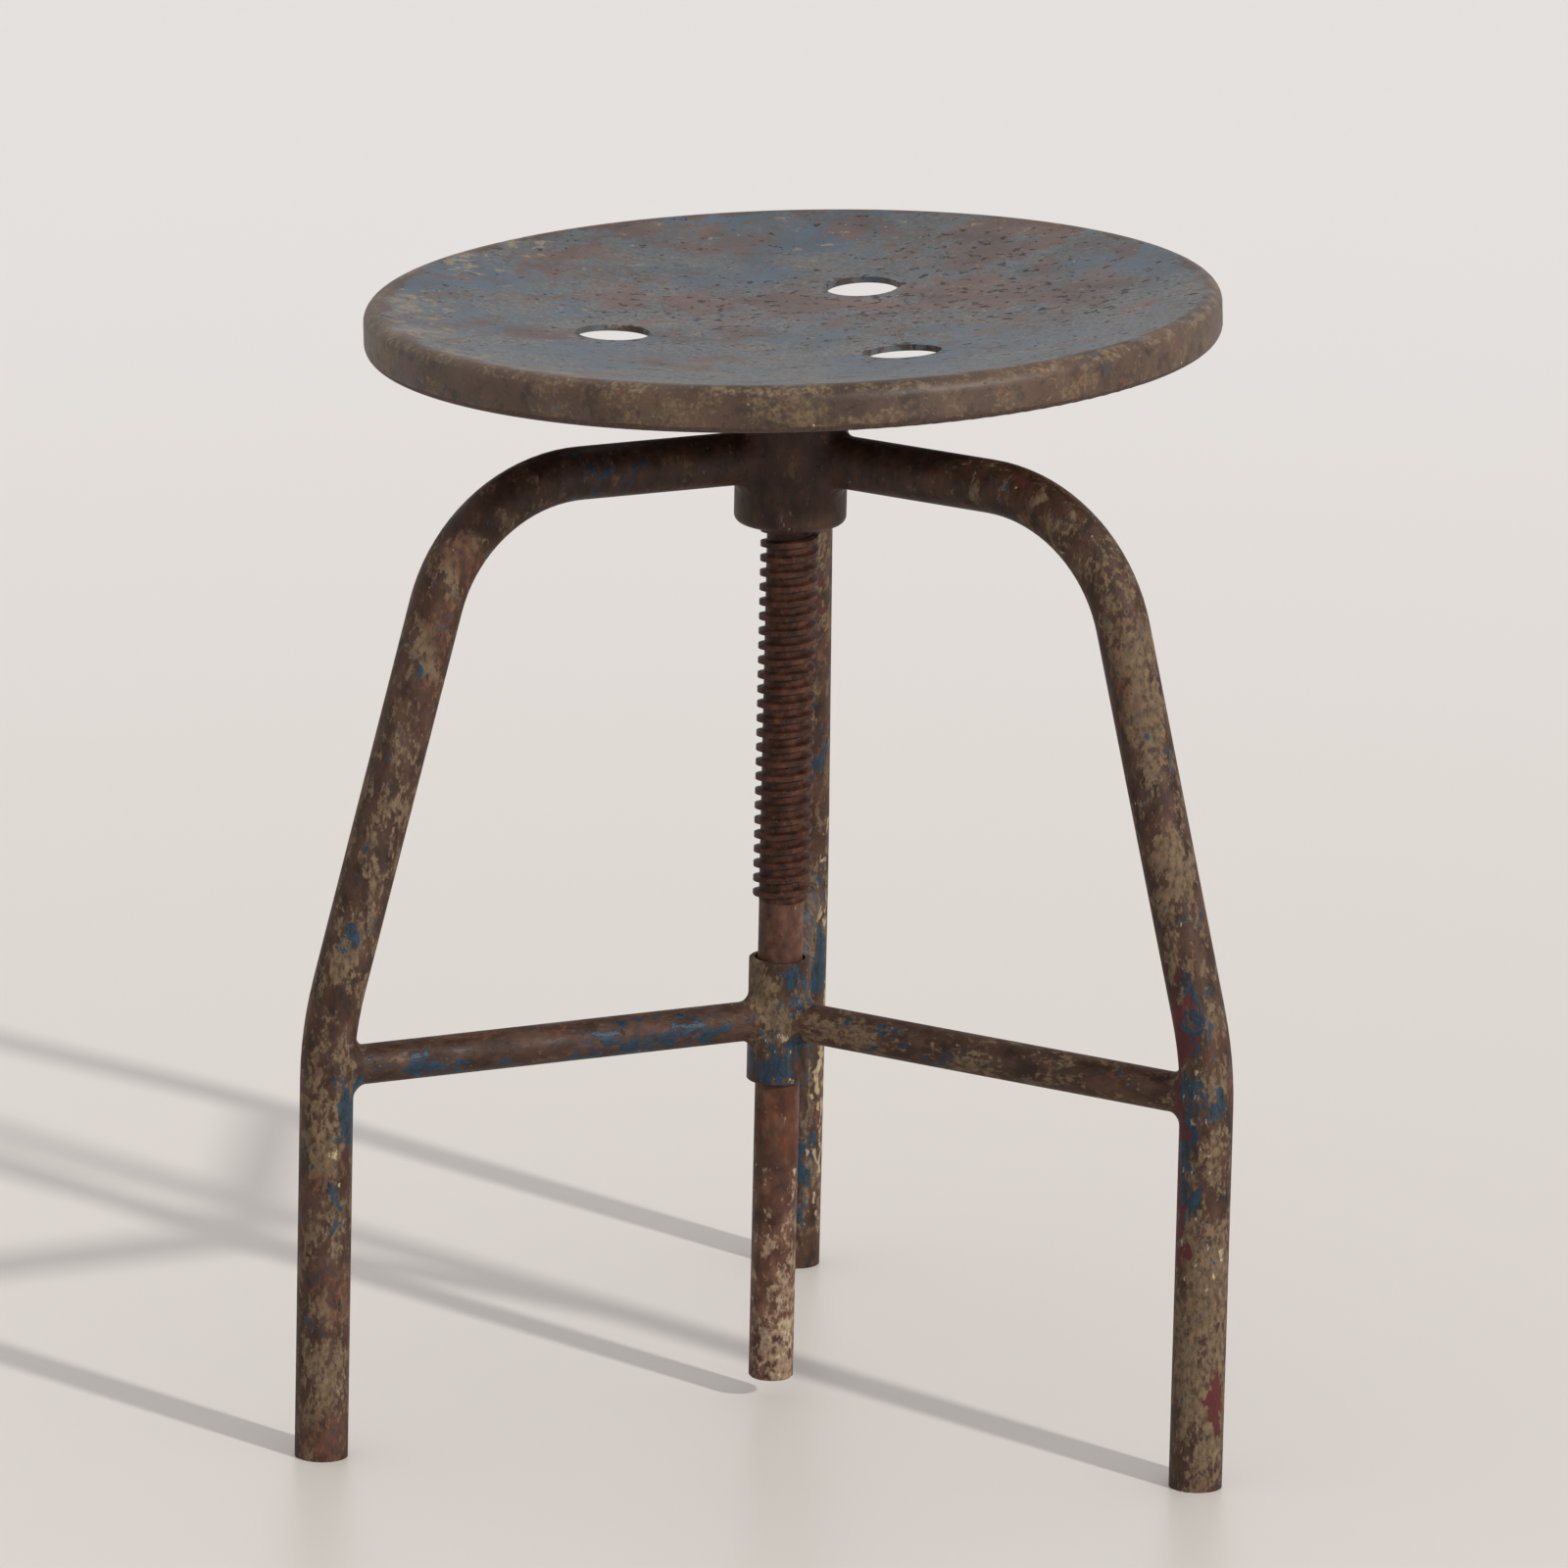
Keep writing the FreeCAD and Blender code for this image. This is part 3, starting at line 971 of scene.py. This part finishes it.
class STOOL_OT_seat_paint(bpy.types.Operator):
    """Finishes the dished seat in rubbed slate-blue paint with a rusty rim"""

    bl_idname = "stool.seat_paint"
    bl_label = "Seat paint"

    def execute(self, context):
        colours = context.scene.stool_colours
        paint = tuple(colours.seat_paint)
        dull = tuple(value * 0.66 for value in paint[:3]) + (1.0,)
        # Brushed paint on pressed sheet, rubbed thin by sitting, so it is satin and cloudy
        ground = (30.0, dull, paint, linear("#524C4A"), 0.42)
        coats = [
            # Bluer paint where it was rubbed least
            {
                "size": 34.0,
                "level": 0.5,
                "soft": 0.16,
                "tones": tones("#253B4A", "#315064"),
                "rough": 0.42,
                "patches": [
                    (-41, 134, 455, 46), (-21, 62, 446, 34), (-2, -42, 445, 34),
                    (17, -35, 446, 30), (131, 41, 461, 40), (99, 51, 456, 30),
                    (9, 128, 455, 36), (-144, 28, 448, 40), (-119, -37, 444, 40),
                    (86, -63, 452, 44), (-77, -85, 444, 46), (40, -120, 450, 40),
                ],
                "gain": 0.24,
                "detail": 8.0,
                "twist": 0.5,
                "opacity": 0.85,
            },
            # Thin bloom of brown rust through the paint
            {
                "size": 22.0,
                "level": 0.5,
                "soft": 0.2,
                "tones": tones("#46312A", "#62493E"),
                "rough": 0.5,
                "height": -0.02,
                "opacity": 0.85,
                "patches": [
                    (-38, 107, 450, 36), (-91, 68, 447, 36), (-33, 24, 444, 44),
                    (-5, 23, 445, 40), (19, 8, 446, 40), (54, 9, 449, 56),
                    (82, 29, 452, 60), (109, 0, 455, 46), (71, 75, 454, 48),
                    (-34, -97, 445, 26), (-26, -36, 444, 28), (21, 121, 455, 28),
                    (84, 107, 460, 36), (130, 72, 464, 30), (-70, 120, 453, 28),
                    (-111, -43, 444, 26), (-73, 26, 443, 24),
                ],
                "gain": 0.2,
                "grit": 0.3,
                "detail": 8.0,
                "twist": 0.5,
            },
            # Smaller mottles of the same rust
            {
                "size": 8.0,
                "level": 0.54,
                "soft": 0.14,
                "tones": tones("#35261F", "#564339"),
                "rough": 0.52,
                "height": -0.03,
                "opacity": 0.6,
                "fine": True,
                "grit": 0.5,
            },
            # Pits 3 to 5 mm across, thickest on the side that rusted most
            {
                "size": 4.6,
                "level": 0.63,
                "soft": 0.05,
                "tones": tones("#1B1310", "#2B201C"),
                "rough": 0.7,
                "height": -0.2,
                "detail": 3.0,
                "patches": [
                    (70, 20, 450, 80), (71, 75, 454, 60), (109, 0, 455, 60), (-20, 10, 444, 70),
                ],
                "gain": 0.07,
                "opacity": 0.9,
            },
            # Cream scratches through the paint by the edge
            {
                "size": 6.0,
                "level": 0.62,
                "soft": 0.08,
                "tones": tones("#776B5B", "#978A75"),
                "rough": 0.65,
                "height": 0.04,
                "patches": [
                    (-154, -20, 448, 30), (-154, -72, 449, 34), (-142, 60, 449, 30),
                    (-120, 95, 452, 26), (-128, -122, 451, 30), (-92, -154, 452, 30),
                ],
                "gain": 0.18,
                "grit": 0.4,
                "fine": True,
                "opacity": 0.8,
            },
            # Dark rust round the cut edges of the three holes
            {
                "size": 10.0,
                "level": 0.7,
                "soft": 0.1,
                "tones": tones("#24170F", "#3A281F"),
                "rough": 0.7,
                "patches": [(24, 47, 446, 20), (-71, -33, 441, 20), (46, -76, 447, 20)],
                "gain": 0.9,
                "opacity": 0.85,
            },
            # Brown patina on the shoulder and the rim, rubbed smooth by hands
            {
                "size": 14.0,
                "level": 0.24,
                "soft": 0.16,
                "tones": tones("#35261C", "#553F31"),
                "rough": 0.5,
                "zones": (("radius", 153.0, 168.0, 0.5),),
                "grit": 0.4,
                "detail": 7.0,
            },
            # Olive dirt in the patina
            {
                "size": 16.0,
                "level": 0.48,
                "soft": 0.14,
                "tones": tones("#40311E", "#745F44"),
                "rough": 0.65,
                "zones": (("radius", 158.0, 168.0, 0.6),),
                "opacity": 0.75,
                "fine": True,
                "grit": 0.5,
                "detail": 8.0,
            },
            # Dark streaks on the rim
            {
                "size": 8.0,
                "level": 0.54,
                "soft": 0.1,
                "tones": tones("#241913", "#37271E"),
                "rough": 0.55,
                "zones": (("radius", 162.0, 170.0, 0.6),),
                "opacity": 0.8,
                "grit": 0.4,
            },
            # Orange rust on the side of the rim that is handled least
            {
                "size": 7.0,
                "level": 0.62,
                "soft": 0.12,
                "tones": tones("#4A2C1F", "#65402D"),
                "rough": 0.65,
                "zones": (("radius", 160.0, 168.0, 0.6),),
                "patches": [(130, -130, 450, 60), (165, -60, 455, 50)],
                "gain": 0.1,
                "opacity": 0.7,
            },
            # Paler line along the shoulder, where clothes have rubbed the patina thin
            {
                "size": 9.0,
                "level": 0.47,
                "soft": 0.16,
                "tones": tones("#5C4B3B", "#84725B"),
                "rough": 0.5,
                "zones": (("radius", 158.0, 166.0, 0.5), ("down", -0.1, -0.6, 0.4)),
                "fine": True,
                "grit": 0.5,
                "opacity": 0.6,
            },
            # Brown rust under the seat
            {
                "size": 14.0,
                "level": 0.2,
                "soft": 0.1,
                "tones": tones("#2E1F18", "#4E382B"),
                "rough": 0.7,
                "zones": (("down", 0.1, 0.5, 0.8),),
                "fine": True,
            },
            # Cream flecks on the rim
            {
                "size": 3.0,
                "level": 0.7,
                "soft": 0.04,
                "tones": tones("#8C7A60", "#BBAC8E"),
                "rough": 0.75,
                "height": 0.1,
                "zones": (("radius", 155.0, 166.0, 0.05),),
                "fine": True,
            },
        ]
        pan = worn_finish("rubbed_seat_paint", ground, coats, seed=3.3, gloss=0.45)
        set_material(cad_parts["seat_pan"], pan)
        return {"FINISHED"}


# Stage


class STOOL_OT_stage(bpy.types.Operator):
    """Sets the floor, the light and the camera"""

    bl_idname = "stool.stage"
    bl_label = "Stage"

    def execute(self, context):
        scene = context.scene
        stage = scene.stool_stage
        colours = scene.stool_colours
        scene.view_settings.view_transform = "Standard"

        mesh = bpy.data.meshes.new("floor")
        build = bmesh.new()
        bmesh.ops.create_circle(build, cap_ends=True, segments=128, radius=FLOOR_RADIUS)
        build.to_mesh(mesh)
        build.free()
        floor = bpy.data.objects.new("floor", mesh)
        scene.collection.objects.link(floor)
        set_material(floor, self.floor_paint(colours))

        world = bpy.data.worlds.new("soft_room")
        scene.world = world
        world.use_nodes = True
        tree = world.node_tree
        tree.nodes.clear()
        rays = add(tree, "ShaderNodeLightPath")
        seen = add(
            tree,
            "ShaderNodeMath",
            {"operation": "MAXIMUM"},
            {0: rays.outputs["Is Camera Ray"], 1: rays.outputs["Is Glossy Ray"]},
        )
        white = (1.0, 1.0, 1.0, 1.0)
        fill = add(
            tree, "ShaderNodeBackground", {"Color": white, "Strength": stage.sky_strength}
        )
        back = add(
            tree, "ShaderNodeBackground", {"Color": tuple(colours.backdrop), "Strength": 1.0}
        )
        mixed = add(
            tree,
            "ShaderNodeMixShader",
            None,
            {0: seen.outputs[0], 1: fill.outputs[0], 2: back.outputs[0]},
        )
        add(tree, "ShaderNodeOutputWorld", None, {"Surface": mixed.outputs[0]})

        key = bpy.data.lights.new("key", "SUN")
        key.energy = stage.key_strength
        # A little wider than the sun, for a soft edge to the shadow
        key.angle = math.radians(3.0)
        key.color = (1.0, 0.975, 0.94)
        lamp = bpy.data.objects.new("key", key)
        towards = Vector((
            math.cos(stage.key_elevation) * math.cos(stage.key_azimuth),
            math.cos(stage.key_elevation) * math.sin(stage.key_azimuth),
            math.sin(stage.key_elevation),
        ))
        lamp.rotation_euler = towards.to_track_quat("Z", "Y").to_euler()
        lamp.location = towards * 3.0
        scene.collection.objects.link(lamp)

        lens = bpy.data.cameras.new("camera")
        lens.lens = stage.focal_length
        lens.sensor_width = 36.0
        lens.clip_end = 60.0
        camera = bpy.data.objects.new("camera", lens)
        around = Vector((math.cos(stage.camera_azimuth), math.sin(stage.camera_azimuth), 0.0))
        pitch = stage.camera_pitch
        forward = -around * math.cos(pitch) - Vector((0.0, 0.0, math.sin(pitch)))
        right = forward.cross(Vector((0.0, 0.0, 1.0))).normalized()
        up = right.cross(forward)
        roll = stage.camera_roll
        rolled_right = right * math.cos(roll) + up * math.sin(roll)
        rolled_up = up * math.cos(roll) - right * math.sin(roll)
        camera.matrix_world = Matrix.Translation(
            SPINDLE + around * stage.camera_distance + Vector((0.0, 0.0, stage.camera_height))
        ) @ Matrix((rolled_right, rolled_up, -forward)).transposed().to_4x4()
        scene.collection.objects.link(camera)
        scene.camera = camera
        return {"FINISHED"}

    def floor_paint(self, colours):
        """Pale floor paint with a soft sheen, a little lighter far from the stool."""
        material = bpy.data.materials.new("pale_floor_paint")
        material.use_nodes = True
        tree = material.node_tree
        tree.nodes.clear()
        point = add(tree, "ShaderNodeTexCoord").outputs["Object"]
        away = add(tree, "ShaderNodeVectorMath", {"operation": "LENGTH"}, {0: point})
        far = add(
            tree,
            "ShaderNodeMapRange",
            {"interpolation_type": "SMOOTHSTEP", "From Min": 0.3, "From Max": 2.5},
            {"Value": away.outputs["Value"]},
        )
        tone = add(
            tree,
            "ShaderNodeMix",
            {"data_type": "RGBA", 6: tuple(colours.floor), 7: tuple(colours.backdrop)},
            {0: far.outputs[0]},
        )
        shader = add(
            tree, "ShaderNodeBsdfPrincipled", {"Roughness": 0.38}, {"Base Color": tone.outputs[2]}
        )
        add(tree, "ShaderNodeOutputMaterial", None, {"Surface": shader.outputs[0]})
        return material


class STOOL_PT_sidebar(bpy.types.Panel):
    """Lists the stool's pieces and settings"""

    bl_idname = "STOOL_PT_sidebar"
    bl_label = "Screw Stool"
    bl_space_type = "VIEW_3D"
    bl_region_type = "UI"
    bl_category = "Stool"

    def draw(self, context):
        layout = self.layout
        for operator in OPERATORS:
            layout.operator(operator.bl_idname)
        for name in ("stool_sizes", "stool_colours", "stool_stage"):
            group = getattr(context.scene, name)
            for key in group.__annotations__:
                layout.prop(group, key)


OPERATORS = (
    STOOL_OT_weld_beads,
    STOOL_OT_frame_paint,
    STOOL_OT_spindle_rust,
    STOOL_OT_seat_paint,
    STOOL_OT_stage,
)
CLASSES = (StoolSizes, StoolColours, StageSettings, *OPERATORS, STOOL_PT_sidebar)


def register():
    """Registers the classes and the settings that they keep on the scene."""
    for item in CLASSES:
        bpy.utils.register_class(item)
    bpy.types.Scene.stool_sizes = PointerProperty(type=StoolSizes)
    bpy.types.Scene.stool_colours = PointerProperty(type=StoolColours)
    bpy.types.Scene.stool_stage = PointerProperty(type=StageSettings)


def unregister():
    """Takes the classes and the settings away again."""
    for name in ("stool_sizes", "stool_colours", "stool_stage"):
        delattr(bpy.types.Scene, name)
    for item in reversed(CLASSES):
        bpy.utils.unregister_class(item)


def main():
    """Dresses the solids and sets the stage."""
    register()
    bpy.ops.stool.weld_beads()
    bpy.ops.stool.frame_paint()
    bpy.ops.stool.spindle_rust()
    bpy.ops.stool.seat_paint()
    bpy.ops.stool.stage()


if __name__ == "__main__":
    main()
